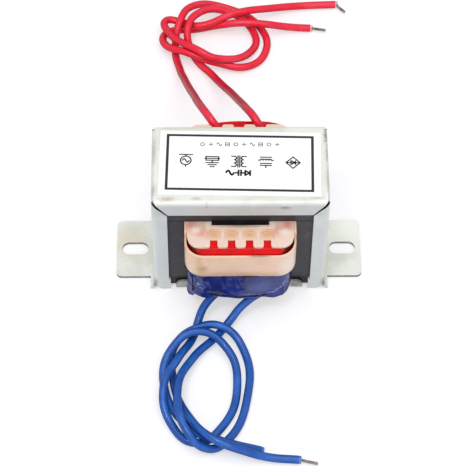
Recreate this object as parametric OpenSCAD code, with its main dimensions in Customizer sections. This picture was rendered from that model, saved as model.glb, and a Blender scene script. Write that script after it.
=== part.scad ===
// Laminated chassis transformer, channel-frame mounting, with flying leads.
// X runs along the mounting ears, Y from the secondary side to the primary side, Z up.
// The origin is at the middle of the mounting plane under the ears.

/* [Laminated core] */
// Width of the centre limb of an E lamination
limb_w = 16; // [12:0.5:24]
// Width of each winding window
window_w = 8; // [6.5:0.25:12]
// Height of the winding window
window_h = 24; // [20:0.5:36]
// Width of each outer limb
side_limb_w = 8; // [6:0.5:12]
// Height of the yoke, which is also the height of an I lamination
yoke_h = 8; // [6:0.5:12]
// Thickness of one lamination
sheet_t = 0.48; // [0.35:0.01:0.5]
// Varnish between two laminations
varnish_t = 0.02; // [0.01:0.005:0.04]
// Number of laminations in the stack, an odd number so that both faces match
sheet_count = 51; // [41:2:61]
// Height of the underside of the core above the mounting plane
core_lift = 1.2; // [1.1:0.05:2]

/* [Channel frame] */
// Thickness of the frame sheet
frame_t = 1; // [0.8:0.1:1.2]
// Clearance between the frame and the core, all round
frame_gap = 0.15; // [0.15:0.05:0.4]
// Clearance between the top of the frame and the core
top_gap = 1.1; // [0.2:0.1:1.5]
// Inside radius of the bends along the flanges
bend_r = 0.45; // [0.2:0.05:0.45]
// Inside radius of the bend between each leg and its ear
ear_bend_r = 1.4; // [0.8:0.1:1.8]
// Depth of the flange that hangs from the top of the frame
top_flange_w = 5.6; // [3.5:0.1:6.5]
// Width of the flange along each leg
leg_flange_w = 4.4; // [3.5:0.1:6.5]
// Extra width of the flange at the foot of each leg
foot_extra_w = 0.5; // [0.2:0.1:1]
// Height of the wider foot of each leg flange
foot_h = 5; // [3:0.5:8]
// Corner cut off the lower outer corner of each leg flange
foot_chamfer = 2.2; // [1.5:0.1:2.8]
// Slit between that corner and the bent sheet beside the ear
slit_w = 0.3; // [0.2:0.1:0.5]
// Width of the open mitre where two flanges meet, at its inner end
mitre_gap = 0.4; // [0.3:0.1:0.8]
// Width of that mitre at the corner of the frame
mitre_mouth = 1; // [0.8:0.1:1.2]
// Clearance between the flange feet and the mounting plane
foot_lift = 0.2; // [0.1:0.1:0.5]

/* [Mounting ears] */
// Distance between the centres of the two mounting slots
slot_pitch = 62; // [60.5:0.5:66]
// Length of each mounting slot
slot_l = 7.8; // [6:0.2:8.6]
// Width of each mounting slot
slot_w = 4.3; // [3.2:0.1:5.5]
// Metal left beyond the outer end of each slot
slot_margin = 1.6; // [1:0.2:4]
// Depth of each ear
ear_d = 20; // [14:0.5:24]
// Corner radius of each ear
ear_r = 1.6; // [0.5:0.1:4]
// Reach of the bent sheet beside each ear
curl_w = 1.1; // [0.6:0.1:1.4]

/* [Core clip] */
// Width of the folded clip under the core
clip_w = 37.5; // [24:0.5:38]
// Thickness of the clip sheet
clip_t = 1; // [0.6:0.1:1]
// Height of the lips of the clip above the mounting plane
clip_lip_h = 3.6; // [2.5:0.1:6]
// Radius of the upper corners of the lips
clip_corner_r = 2; // [0.5:0.1:2.2]

/* [Bobbin] */
// Clearance between the tube and the centre limb, sideways
tube_gap = 0.2; // [0.1:0.05:0.4]
// Room left in the tube in front of and behind the stack
tube_room = 1.3; // [0.2:0.1:2.5]
// Wall of the tube
tube_wall = 0.8; // [0.6:0.1:1.2]
// Thickness of each flange
flange_t = 0.8; // [0.6:0.1:1.2]
// Clearance between the bobbin and the yokes
bobbin_gap = 0.2; // [0.1:0.05:0.5]
// Clearance between the flange edges and the outer limbs
flange_gap = 1.05; // [1:0.05:1.2]
// Reach of the end flanges beyond the faces of the stack
flange_reach = 8.65; // [7.5:0.05:12]
// Corner radius of the end flanges
flange_r = 3.4; // [2:0.1:5]
// Height of the rim round the mouth of the tube
rim_h = 0.15; // [0.1:0.01:0.19]

/* [Flange combs] */
// Number of terminal notches in each end flange
comb_notches = 4; // [2:1:5]
// Distance between the terminal notches
comb_pitch = 5.05; // [4:0.05:6]
// Width of a terminal notch
comb_notch_w = 2.1; // [1.2:0.1:3]
// Depth of every notch
notch_depth = 2.6; // [1.5:0.1:3.5]
// Radius of the tips of the comb teeth
tooth_r = 0.7; // [0.2:0.1:0.9]
// Number of lead notches in the opposite edge of each end flange
lead_notches = 3; // [2:1:3]
// Distance between the lead notches
lead_pitch = 6.4; // [5:0.1:7.5]
// Width of a lead notch
lead_notch_w = 3; // [2.6:0.1:3.4]
// Length of the recess behind each terminal notch
recess_l = 3.4; // [2:0.1:4]
// Width of the recess behind each terminal notch
recess_w = 4; // [2.5:0.1:4.4]
// Depth of that recess
recess_depth = 0.4; // [0.1:0.05:0.5]
// Width of the small step across each recess
step_w = 2.4; // [1:0.1:2.5]
// Distance of that step behind the root of the notch
step_y = 2.4; // [1:0.1:3]
// Height of that step
step_h = 0.2; // [0.1:0.05:0.3]

/* [Shroud] */
// Clearance between the shroud and the outer limbs
shroud_gap = 0.1; // [0.05:0.05:0.15]
// Wall of the shroud
shroud_wall = 0.65; // [0.5:0.05:0.7]
// Height of the shroud skirt
shroud_h = 9.8; // [6:0.1:10.5]
// Reach of the skirt beyond the front edge of the end flanges
shroud_reach = 1.9; // [1.3:0.1:2.2]
// Outer corner radius of the skirt
shroud_r = 5.4; // [3:0.1:7]
// Reach of the window cheeks beyond the faces of the stack
cheek_reach = 3.6; // [2:0.1:5]

/* [Windings] */
// Clearance between a winding, its tape and the bobbin
coil_gap = 0.1; // [0.05:0.05:0.2]
// Clearance between the tape and the shroud at the sides of the coil
tape_side_gap = 0.2; // [0.1:0.05:0.4]
// Thickness of the wrapped tape
tape_t = 0.4; // [0.2:0.1:0.6]
// Thickness of the tape edge folded over the winding
fold_t = 0.4; // [0.2:0.1:0.6]
// Width of the tape edge folded over the winding
fold_w = 3.6; // [2:0.1:4.5]
// Outer corner radius of the taped coils
coil_r = 5; // [3:0.1:5.5]
// Bulge of the tape over the lead joints
bulge = 2.6; // [2:0.1:2.8]

/* [Leads] */
// Diameter of the insulated leads
lead_d = 2.3; // [1.6:0.1:2.3]
// Diameter of the tinned ends
strand_d = 0.9; // [0.5:0.1:1.2]
// Length of the tinned ends
strand_l = 5.5; // [3:0.5:8]
// Diameter of a soldered joint under the tape
joint_d = 1.4; // [1:0.1:1.6]
// Length of a soldered joint
joint_l = 3.2; // [2:0.1:4]

/* [Label] */
// Length of the label
label_l = 45.8; // [30:0.2:46.4]
// Width of the label
label_w = 22.4; // [15:0.2:23]
// Distance of the middle of the label behind the middle of the frame
label_y = 0.2; // [0:0.1:1]
// Thickness of the label
label_t = 0.12; // [0.05:0.01:0.3]
// Angle at which the label is stuck on
label_turn = -1.4; // [-1.5:0.1:1.5]

/* [Hidden] */
$fn = 64;
// How far a cutting shape reaches past what it cuts
over = 1;

// Core
lam_w = limb_w + 2 * window_w + 2 * side_limb_w;
e_h = window_h + yoke_h;
core_h = e_h + yoke_h;
core_mid_z = core_lift + core_h / 2;
core_top = core_lift + core_h;
sheet_pitch = sheet_t + varnish_t;
stack_d = sheet_count * sheet_pitch - varnish_t;

// Frame, outside sizes
frame_w = lam_w + 2 * (frame_gap + frame_t);
frame_d = stack_d + 2 * (frame_gap + frame_t);
frame_h = core_top + top_gap + frame_t;
ear_reach = slot_pitch / 2 + slot_l / 2 + slot_margin;
// Outside of the bend between a leg and its ear, and where its centre lies
foot_r = ear_bend_r + frame_t;
foot_x = frame_w / 2 + ear_bend_r;

// Bobbin
bobbin_z = core_lift + yoke_h + bobbin_gap;
bobbin_h = window_h - 2 * bobbin_gap;
bobbin_mid_z = bobbin_z + bobbin_h / 2;
tube_in_w = limb_w + 2 * tube_gap;
tube_in_d = stack_d + 2 * tube_room;
tube_out_w = tube_in_w + 2 * tube_wall;
tube_out_d = tube_in_d + 2 * tube_wall;
flange_w = limb_w + 2 * (window_w - flange_gap);
flange_d = stack_d + 2 * flange_reach;
section_h = (bobbin_h - 3 * flange_t) / 2;
notch_root = flange_d / 2 - notch_depth;

// Shroud, outside sizes; its cheeks stand between the flange edges and the outer limbs
shroud_w = limb_w + 2 * (window_w - shroud_gap);
shroud_d = flange_d + 2 * shroud_reach;
cheek_d = stack_d + 2 * cheek_reach;
mid_flange_d = shroud_d - 2 * (shroud_wall + shroud_gap);
mid_flange_r = shroud_r - shroud_wall - shroud_gap;

// Coils, measured from the middle of the bobbin; each one is built with its leads at +Y
lead_x = (lead_notches - 1) / 2 * lead_pitch;
// The leads run just inside the edge of the end flange
lead_inset = 0.3;
lead_y = flange_d / 2 - lead_inset;
tape_w = flange_w - 2 * tape_side_gap;
tape_front = flange_d / 2 + lead_inset;
tape_back = flange_d / 2 + bulge;
// Radius of the bulged side of the tape
bulge_r = 33;
tape_z = flange_t / 2 + coil_gap;
tape_h = section_h - 2 * coil_gap;
winding_w = tape_w - 2 * (tape_t + coil_gap);
winding_front = tape_front - tape_t - coil_gap;
winding_back = lead_y - lead_d / 2 - coil_gap;
winding_r = coil_r - tape_t - coil_gap;
winding_h = tape_h - fold_t - coil_gap;
// Distance of a joint from the inner edge of its tape
joint_inset = 0.8;
joint_z = tape_z + joint_inset;
lead_z = joint_z + joint_l;
// Height at which a lead is half way through its end flange
exit_z = (bobbin_h - flange_t) / 2;
// Number of sides of a lead
lead_sides = 8;

// Routes of the free leads. The first two points of each follow its notch, and the others are
// where the lead lies: the two leads of each winding are coiled and tucked into one loose knot.
function primary_start(side) =
    [for (z = [lead_z, exit_z]) [side * lead_x, lead_y, bobbin_mid_z + z]];
function secondary_start(side) =
    [for (z = [lead_z, exit_z]) [side * lead_x, -lead_y, bobbin_mid_z - z]];

primary_left_route = concat(primary_start(-1), [
    [-7, 22.5, 34.5], [-8.5, 25.5, 34.5], [-12, 33, 28.5], [-15.5, 51, 14.1],
    [-18.5, 67, 3.1], [-19.5, 77.5, 1.4], [-18, 85, 5.9], [-14, 92, 5.2], [-4, 94, 2.4],
    [8, 86, 1.2], [9.5, 76, 1.3], [4, 70, 1.3], [-6.5, 70, 3.3], [-15.5, 72.5, 5.2],
    [-23, 78, 3.2], [-22.5, 83, 2.1], [-12, 85.5, 1.2], [-2, 85.5, 3.9], [9, 85, 5.2],
    [16, 85.5, 1.2], [24, 86, 1.2]]);
primary_right_route = concat(primary_start(1), [
    [6, 22.5, 34.5], [4.5, 25.5, 34.5], [1, 33, 27.7], [-3, 51, 11.8], [-8, 65, 2.1],
    [-14, 75, 1.9], [-15.5, 81.5, 5.8], [-12.5, 87.5, 6.6], [-3, 91, 3.8], [6, 83.5, 1.4],
    [5, 76, 1.8], [-6, 69.5, 5.9], [-12, 71.5, 7.5], [-22, 82, 4.7], [-22.5, 87, 3.9],
    [-16.5, 86.5, 3.3], [-12, 84.5, 4.2], [0.5, 88.5, 6], [12, 92.5, 3.6], [20.5, 95, 1.2],
    [31.5, 96, 1.2]]);
secondary_left_route = concat(secondary_start(-1), [
    [-8.5, -23.5, 5.2], [-12.5, -31, 1.2], [-18, -41, 4.9], [-22, -50.5, 5.4],
    [-20, -60.5, 2.1], [-13, -66.5, 1.2], [-5.5, -61.5, 1.2], [-1, -48, 1.3],
    [-4, -36.5, 3.3], [-12, -32.5, 6], [-20, -38, 4.8], [-22, -48, 2.2],
    [-14.5, -62.5, 2.8], [-6, -67.5, 4.5], [5.5, -69, 1.2]]);
secondary_right_route = concat(secondary_start(1), [
    [4, -23, 6], [-2, -26.5, 1.7], [-13.5, -39.5, 3.1], [-18, -52.5, 6.8], [-15, -66, 6.3],
    [-9.5, -69, 2.5], [-4.5, -66.5, 1.4], [2, -51, 1.2], [1, -36.5, 2], [-5, -30, 4.4],
    [-12.5, -30.5, 4.7], [-19, -35.5, 2.7], [-19.5, -45, 1.2], [-14, -61.5, 5.2],
    [-7.5, -68.5, 6.8], [1, -71, 4.5], [8, -71.5, 1.2], [16, -72, 1.2]]);

// Rectangle centred on the origin, with round corners
module rounded_rect(w, d, r) {
    square([w - 2 * r, d], center = true);
    square([w, d - 2 * r], center = true);
    for (sx = [-1, 1], sy = [-1, 1])
        translate([sx * (w / 2 - r), sy * (d / 2 - r)])
            circle(r);
}

// Rectangle with round corners from -front to +back in Y
module coil_rect(w, front, back, r) {
    translate([0, (back - front) / 2])
        rounded_rect(w, front + back, r);
}

// The same, with an arc for its back edge that runs smoothly into the corners
module bulged_rect(w, front, back, r, arc_r) {
    arc_y = back - arc_r;
    corner_x = w / 2 - r;
    corner_y = arc_y + sqrt(pow(arc_r - r, 2) - pow(corner_x, 2));
    wedge = 2 * arc_r / (arc_r - r);
    coil_rect(w, front, corner_y, r);
    translate([-w / 2, 0])
        square([w, corner_y]);
    for (side = [-1, 1])
        translate([side * corner_x, corner_y])
            circle(r);
    intersection() {
        translate([0, arc_y])
            circle(arc_r, $fn = 180);
        translate([0, arc_y])
            polygon([[0, 0], [corner_x, corner_y - arc_y] * wedge, [-corner_x, corner_y - arc_y] * wedge]);
    }
}

// Turns a piece made for the primary section into one for the secondary section
module at_primary() {
    translate([0, 0, bobbin_mid_z])
        children();
}

module at_secondary() {
    translate([0, 0, bobbin_mid_z])
        rotate([180, 0, 0])
            children();
}

// Repeats a piece at both ends of the part
module both_ends() {
    children();
    mirror([1, 0, 0])
        children();
}

// Solid block with the bends along the flanges, smaller all round by inset
module frame_block(inset) {
    r = bend_r + frame_t - inset;
    w = frame_w - 2 * inset;
    d = frame_d - 2 * inset;
    h = frame_h - inset;
    intersection() {
        linear_extrude(h)
            rounded_rect(w, d, r);
        translate([0, d / 2, 0])
            rotate([90, 0, 0])
                linear_extrude(d)
                    rounded_rect(w, 2 * h, r);
        translate([-w / 2, 0, 0])
            rotate([90, 0, 90])
                linear_extrude(w)
                    rounded_rect(d, 2 * h, r);
    }
}

// Extrudes a shape drawn in X and Z towards +Y, from y to y + d
module along_y(y, d) {
    translate([0, y + d, 0])
        rotate([90, 0, 0])
            linear_extrude(d)
                children();
}

// Opening between the flanges, with the wider feet
module face_opening_2d() {
    inner_w = frame_w - 2 * leg_flange_w;
    foot_w = inner_w - 2 * foot_extra_w;
    translate([-inner_w / 2, foot_h])
        square([inner_w, frame_h - top_flange_w - foot_h]);
    translate([-foot_w / 2, -over])
        square([foot_w, foot_h + over]);
}

// Half plane outside the cut-off foot corner of a flange, moved outwards by shift
module foot_corner_2d(shift) {
    corner_x = frame_w / 2 - foot_chamfer + shift * sqrt(2);
    polygon([[corner_x - over, foot_lift - over],
             [corner_x + frame_w, foot_lift - over],
             [corner_x + frame_w, foot_lift + frame_w]]);
}

// Open mitre between the top flange and the right leg flange, wider towards the corner
module mitre_2d() {
    inner = [frame_w / 2 - leg_flange_w, frame_h - top_flange_w];
    run = [frame_w / 2, frame_h] - inner;
    l = norm(run);
    translate(inner)
        rotate(atan2(run[1], run[0]))
            polygon([[-over, -mitre_gap / 2], [0, -mitre_gap / 2], [l, -mitre_mouth / 2],
                     [l + over, -mitre_mouth / 2], [l + over, mitre_mouth / 2],
                     [l, mitre_mouth / 2], [0, mitre_gap / 2], [-over, mitre_gap / 2]]);
}

// Section of the bend from the right leg to its ear
module foot_bend_2d() {
    intersection() {
        difference() {
            translate([foot_x, foot_r])
                circle(foot_r);
            translate([foot_x, foot_r])
                circle(ear_bend_r);
        }
        translate([foot_x - foot_r, 0])
            square(foot_r);
    }
}

module channel() {
    flange_zone = bend_r + frame_t;
    difference() {
        frame_block(0);
        frame_block(frame_t);
        along_y(-frame_d, 2 * frame_d)
            face_opening_2d();
        for (y = [-frame_d / 2 - over, frame_d / 2 - flange_zone])
            both_ends()
                along_y(y, flange_zone + over)
                    mitre_2d();
        // The legs end above their bends, and the flanges above the mounting plane
        both_ends()
            translate([frame_w / 2 - flange_zone, frame_t - frame_d / 2, -over])
                cube([flange_zone + over, frame_d - 2 * frame_t, foot_r + over]);
        for (y = [-frame_d / 2 - over, frame_d / 2 - frame_t])
            both_ends()
                along_y(y, frame_t + over)
                    foot_corner_2d(0);
        translate([-frame_w / 2, -frame_d, -over])
            cube([frame_w, 2 * frame_d, over + foot_lift]);
    }
}

module ear() {
    inner_d = frame_d - 2 * frame_t;
    curl_x = min(foot_x, frame_w / 2 + curl_w);
    along_y(-ear_d / 2, ear_d)
        foot_bend_2d();
    along_y(-inner_d / 2, inner_d)
        intersection() {
            foot_bend_2d();
            square([curl_x, foot_r]);
        }
    along_y(-frame_d / 2, frame_d)
        intersection() {
            foot_bend_2d();
            foot_corner_2d(slit_w);
            square([curl_x, foot_r]);
        }
    difference() {
        linear_extrude(frame_t)
            intersection() {
                translate([foot_x, -ear_d / 2])
                    square([ear_reach - foot_x, ear_d]);
                rounded_rect(2 * ear_reach, ear_d, ear_r);
            }
        translate([slot_pitch / 2, 0, -over])
            linear_extrude(frame_t + 2 * over)
                slot_2d();
    }
}

module slot_2d() {
    run = slot_l - slot_w;
    square([run, slot_w], center = true);
    for (x = [-run / 2, run / 2])
        translate([x, 0])
            circle(slot_w / 2);
}

module channel_frame() {
    color("gainsboro") {
        channel();
        both_ends()
            ear();
    }
}

// Folded strip under the core whose lips hold the two faces of the stack
module core_clip() {
    base_z = core_lift - clip_t;
    clip_d = stack_d + 2 * (frame_gap + clip_t);
    color("silver")
        intersection() {
            translate([-clip_w / 2, 0, 0])
                rotate([90, 0, 90])
                    linear_extrude(clip_w)
                        difference() {
                            translate([0, base_z + clip_lip_h])
                                rounded_rect(clip_d, 2 * clip_lip_h, clip_t);
                            translate([-clip_d / 2 + clip_t, core_lift])
                                square([clip_d - 2 * clip_t, 2 * clip_lip_h]);
                        }
            along_y(-clip_d, 2 * clip_d)
                rounded_rect(clip_w, 2 * clip_lip_h, clip_corner_r);
        }
}

// E lamination lying in X and Z, with its limbs pointing up
module e_sheet_2d() {
    difference() {
        translate([-lam_w / 2, 0])
            square([lam_w, e_h]);
        for (side = [-1, 1])
            translate([side * (limb_w + window_w) / 2 - window_w / 2, yoke_h])
                square([window_w, window_h + over]);
    }
}

module i_sheet_2d() {
    translate([-lam_w / 2, e_h])
        square([lam_w, yoke_h]);
}

// Stacks a sheet shape, turning every second sheet upside down
module interleaved() {
    for (i = [0 : sheet_count - 1])
        translate([0, i * sheet_pitch - stack_d / 2, core_mid_z])
            mirror([0, 0, i % 2])
                translate([0, 0, -core_h / 2])
                    along_y(0, sheet_t)
                        children();
}

module e_laminations() {
    color("dimgray")
        interleaved()
            e_sheet_2d();
}

module i_laminations() {
    color("dimgray")
        interleaved()
            i_sheet_2d();
}

// Places its children along X, at the middle of each notch of a comb
module at_notches(count, pitch) {
    for (i = [0 : count - 1])
        translate([(i - (count - 1) / 2) * pitch, 0])
            children();
}

// Notch from the edge at Y = 0 towards +Y, with the tips of the teeth beside it rounded
module notch_2d(w) {
    translate([-w / 2, -over])
        square([w, over + notch_depth]);
    difference() {
        translate([-w / 2 - tooth_r, -over])
            square([w + 2 * tooth_r, over + tooth_r]);
        for (side = [-1, 1])
            translate([side * (w / 2 + tooth_r), tooth_r])
                circle(tooth_r);
    }
}

module end_flange_2d() {
    difference() {
        rounded_rect(flange_w, flange_d, flange_r);
        translate([0, -flange_d / 2])
            at_notches(comb_notches, comb_pitch)
                notch_2d(comb_notch_w);
        translate([0, flange_d / 2])
            mirror([0, 1])
                at_notches(lead_notches, lead_pitch)
                    notch_2d(lead_notch_w);
    }
}

// End flange as at the top: the terminal comb at -Y, the lead comb at +Y
module end_flange() {
    top = bobbin_h / 2;
    difference() {
        translate([0, 0, top - flange_t])
            linear_extrude(flange_t)
                end_flange_2d();
        translate([0, -notch_root, top - recess_depth])
            linear_extrude(recess_depth + over)
                at_notches(comb_notches, comb_pitch)
                    translate([-recess_w / 2, 0])
                        square([recess_w, recess_l]);
    }
    translate([0, step_y - notch_root, top - recess_depth])
        linear_extrude(step_h)
            at_notches(comb_notches, comb_pitch)
                square([step_w, recess_depth], center = true);
    translate([0, 0, top])
        linear_extrude(rim_h)
            rounded_rect(tube_out_w, tube_out_d, tube_wall);
}

module bobbin() {
    color("bisque")
        translate([0, 0, bobbin_mid_z])
            difference() {
                union() {
                    translate([0, 0, -bobbin_h / 2])
                        linear_extrude(bobbin_h)
                            rounded_rect(tube_out_w, tube_out_d, tube_wall);
                    translate([0, 0, -flange_t / 2])
                        linear_extrude(flange_t)
                            rounded_rect(flange_w, mid_flange_d, mid_flange_r);
                    end_flange();
                    rotate([180, 0, 0])
                        end_flange();
                }
                cube([tube_in_w, tube_in_d, bobbin_h + 2 * over], center = true);
            }
}

// Cover round the front of the primary section, with a cheek in each window
module coil_shroud() {
    inner_w = shroud_w - 2 * shroud_wall;
    inner_d = shroud_d - 2 * shroud_wall;
    cheek_h = (bobbin_h + flange_t) / 2;
    color("peachpuff")
        translate([0, 0, bobbin_mid_z - flange_t / 2]) {
            linear_extrude(shroud_h)
                difference() {
                    rounded_rect(shroud_w, shroud_d, shroud_r);
                    rounded_rect(inner_w, inner_d, shroud_r - shroud_wall);
                    translate([-shroud_w, cheek_d / 2])
                        square([2 * shroud_w, shroud_d]);
                }
            for (side = [-1, 1])
                translate([side * (shroud_w - shroud_wall) / 2, 0, cheek_h / 2])
                    cube([shroud_wall, cheek_d, cheek_h], center = true);
        }
}

module winding() {
    color("chocolate")
        translate([0, 0, tape_z])
            linear_extrude(winding_h)
                difference() {
                    coil_rect(winding_w, winding_front, winding_back, winding_r);
                    rounded_rect(tube_out_w + 2 * coil_gap, tube_out_d + 2 * coil_gap,
                                 tube_wall + coil_gap);
                }
}

// Tape round a winding, with its outer edge folded over and holes there for the leads
module tape() {
    translate([0, 0, tape_z])
        linear_extrude(tape_h)
            difference() {
                bulged_rect(tape_w, tape_front, tape_back, coil_r, bulge_r);
                tape_inside_2d();
            }
    translate([0, 0, tape_z + tape_h - fold_t])
        linear_extrude(fold_t)
            difference() {
                tape_inside_2d();
                coil_rect(winding_w - 2 * fold_w, winding_front - fold_w,
                          winding_back - fold_w, tape_t);
                for (side = [-1, 1])
                    translate([side * lead_x, lead_y])
                        circle(lead_d / 2 + coil_gap);
            }
}

module tape_inside_2d() {
    bulged_rect(tape_w - 2 * tape_t, tape_front - tape_t, tape_back - tape_t, coil_r - tape_t,
                bulge_r - tape_t);
}

// Soldered joints between the winding and its leads, under the bulge of the tape
module joints() {
    color("lightgray")
        for (side = [-1, 1])
            translate([side * lead_x, lead_y, joint_z])
                cylinder(h = joint_l, d = joint_d);
}

module primary_winding() {
    at_primary()
        winding();
}

module primary_tape() {
    color("red")
        at_primary()
            tape();
}

module primary_joints() {
    at_primary()
        joints();
}

module secondary_winding() {
    at_secondary()
        winding();
}

module secondary_tape() {
    color("mediumblue")
        at_secondary()
            tape();
}

module secondary_joints() {
    at_secondary()
        joints();
}

module rating_label() {
    color("white")
        translate([0, label_y, frame_h])
            rotate(label_turn)
                translate([-label_l / 2, -label_w / 2, 0])
                    cube([label_l, label_w, label_t]);
}

function unit(v) = v / norm(v);
function heading(route, i) =
    unit(route[min(i + 1, len(route) - 1)] - route[max(i - 1, 0)]);
// Sideways direction of each ring, carried along the route so that the tube doesn't twist
function sideways(route, i) =
    i == 0 ? [1, 0, 0] : level(sideways(route, i - 1), heading(route, i));
function level(v, along) = unit(v - (v * along) * along);
function ring(centre, along, side) =
    [for (k = [0 : lead_sides - 1])
        centre + lead_d / 2 * (cos(k * 360 / lead_sides) * side
                               + sin(k * 360 / lead_sides) * cross(along, side))];
function ring_faces(n) =
    [for (i = [0 : n - 2], k = [0 : lead_sides - 1])
        let (a = i * lead_sides, next = (k + 1) % lead_sides)
            [a + k, a + lead_sides + k, a + lead_sides + next, a + next]];
function backwards(v) = [for (k = [len(v) - 1 : -1 : 0]) v[k]];

// Round lead swept along its route
module lead(route) {
    n = len(route);
    points = [for (i = [0 : n - 1])
        each ring(route[i], heading(route, i), sideways(route, i))];
    first_end = [for (k = [0 : lead_sides - 1]) k];
    last_end = [for (k = [0 : lead_sides - 1]) (n - 1) * lead_sides + k];
    polyhedron(points, concat([first_end], ring_faces(n), [backwards(last_end)]));
}

// Tinned strands that stand out of the far end of a lead
module strands(route) {
    n = len(route);
    run = route[n - 1] - route[n - 2];
    color("silver")
        translate(route[n - 1])
            rotate([0, 90, atan2(run[1], run[0])])
                cylinder(h = strand_l, d = strand_d);
}

channel_frame();
core_clip();
e_laminations();
i_laminations();
bobbin();
coil_shroud();
primary_winding();
primary_tape();
primary_joints();
secondary_winding();
secondary_tape();
secondary_joints();
rating_label();
color("crimson") lead(primary_left_route);  // primary_lead_left
color("crimson") lead(primary_right_route);  // primary_lead_right
strands(primary_left_route);  // primary_strands_left
strands(primary_right_route);  // primary_strands_right
color("royalblue") lead(secondary_left_route);  // secondary_lead_left
color("royalblue") lead(secondary_right_route);  // secondary_lead_right
strands(secondary_right_route);  // secondary_strands_right
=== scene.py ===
import math

import bmesh
import bpy
from mathutils import Euler, Matrix, Vector, noise


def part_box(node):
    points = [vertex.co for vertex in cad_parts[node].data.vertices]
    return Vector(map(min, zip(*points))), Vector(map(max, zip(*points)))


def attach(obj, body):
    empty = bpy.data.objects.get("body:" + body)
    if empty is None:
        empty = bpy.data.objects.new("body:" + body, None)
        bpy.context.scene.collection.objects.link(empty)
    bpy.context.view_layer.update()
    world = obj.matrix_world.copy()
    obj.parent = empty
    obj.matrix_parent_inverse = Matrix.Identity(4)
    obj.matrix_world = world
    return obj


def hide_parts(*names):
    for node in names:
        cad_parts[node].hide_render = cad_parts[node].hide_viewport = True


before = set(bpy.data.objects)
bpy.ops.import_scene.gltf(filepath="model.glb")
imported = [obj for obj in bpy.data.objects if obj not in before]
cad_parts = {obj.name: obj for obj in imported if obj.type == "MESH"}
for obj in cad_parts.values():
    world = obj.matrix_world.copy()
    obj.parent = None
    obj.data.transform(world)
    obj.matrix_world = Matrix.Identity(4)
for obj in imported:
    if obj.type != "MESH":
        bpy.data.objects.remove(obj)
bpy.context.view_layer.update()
mm = 0.001
print("frame loaded")

cameraSettings = {
    "place": (-8.765, -339.882, 501.470),   # millimetres
    "turn": (34.5527, -0.4608, -0.6106),    # degrees
    "lens": 154.25,
    "sensor": 36.0,
    "clip": (0.01, 10.0),
}


def makeCamera(s):
    data = bpy.data.cameras.new("camera")
    data.lens = s["lens"]
    data.sensor_width = s["sensor"]
    data.clip_start, data.clip_end = s["clip"]
    camera = bpy.data.objects.new("camera", data)
    camera.location = Vector(s["place"]) * mm
    camera.rotation_euler = Euler([math.radians(a) for a in s["turn"]])
    bpy.context.scene.collection.objects.link(camera)
    bpy.context.scene.camera = camera


makeCamera(cameraSettings)
print("camera set")


def newGroup(name, inputs, outputs):
    group = bpy.data.node_groups.new(name, "ShaderNodeTree")
    for label, kind, value in inputs:
        socket = group.interface.new_socket(name=label, in_out="INPUT", socket_type=kind)
        if value is not None:
            socket.default_value = value
    for label, kind in outputs:
        group.interface.new_socket(name=label, in_out="OUTPUT", socket_type=kind)
    start = group.nodes.new("NodeGroupInput")
    end = group.nodes.new("NodeGroupOutput")
    return group, start, end


def addNode(tree, kind, values=None, **settings):
    node = tree.nodes.new(kind)
    for key, value in settings.items():
        setattr(node, key, value)
    for key, value in (values or {}).items():
        node.inputs[key].default_value = value
    return node


def mottleGroup():
    # soft clouds of a second colour over the first
    group, start, end = newGroup(
        "mottle",
        [("Vector", "NodeSocketVector", None), ("Scale", "NodeSocketFloat", 100.0),
         ("Low", "NodeSocketFloat", 0.4), ("High", "NodeSocketFloat", 0.6),
         ("Base", "NodeSocketColor", None), ("Spot", "NodeSocketColor", None)],
        [("Color", "NodeSocketColor")])
    clouds = addNode(group, "ShaderNodeTexNoise", {"Detail": 5.0, "Roughness": 0.6})
    span = addNode(group, "ShaderNodeMapRange", interpolation_type="SMOOTHSTEP")
    mix = addNode(group, "ShaderNodeMix", data_type="RGBA")
    link = group.links.new
    link(start.outputs["Vector"], clouds.inputs["Vector"])
    link(start.outputs["Scale"], clouds.inputs["Scale"])
    link(clouds.outputs["Fac"], span.inputs["Value"])
    link(start.outputs["Low"], span.inputs["From Min"])
    link(start.outputs["High"], span.inputs["From Max"])
    link(span.outputs["Result"], mix.inputs["Factor"])
    link(start.outputs["Base"], mix.inputs[6])
    link(start.outputs["Spot"], mix.inputs[7])
    link(mix.outputs[2], end.inputs["Color"])
    return group


def grainGroup():
    # fine grain for bump and roughness
    group, start, end = newGroup(
        "grain",
        [("Vector", "NodeSocketVector", None), ("Scale", "NodeSocketFloat", 1000.0),
         ("Low", "NodeSocketFloat", 0.3), ("High", "NodeSocketFloat", 0.4)],
        [("Height", "NodeSocketFloat"), ("Value", "NodeSocketFloat")])
    fine = addNode(group, "ShaderNodeTexNoise", {"Detail": 3.0})
    span = addNode(group, "ShaderNodeMapRange", {"From Min": 0.3, "From Max": 0.7})
    link = group.links.new
    link(start.outputs["Vector"], fine.inputs["Vector"])
    link(start.outputs["Scale"], fine.inputs["Scale"])
    link(fine.outputs["Fac"], span.inputs["Value"])
    link(start.outputs["Low"], span.inputs["To Min"])
    link(start.outputs["High"], span.inputs["To Max"])
    link(fine.outputs["Fac"], end.inputs["Height"])
    link(span.outputs["Result"], end.inputs["Value"])
    return group


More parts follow.
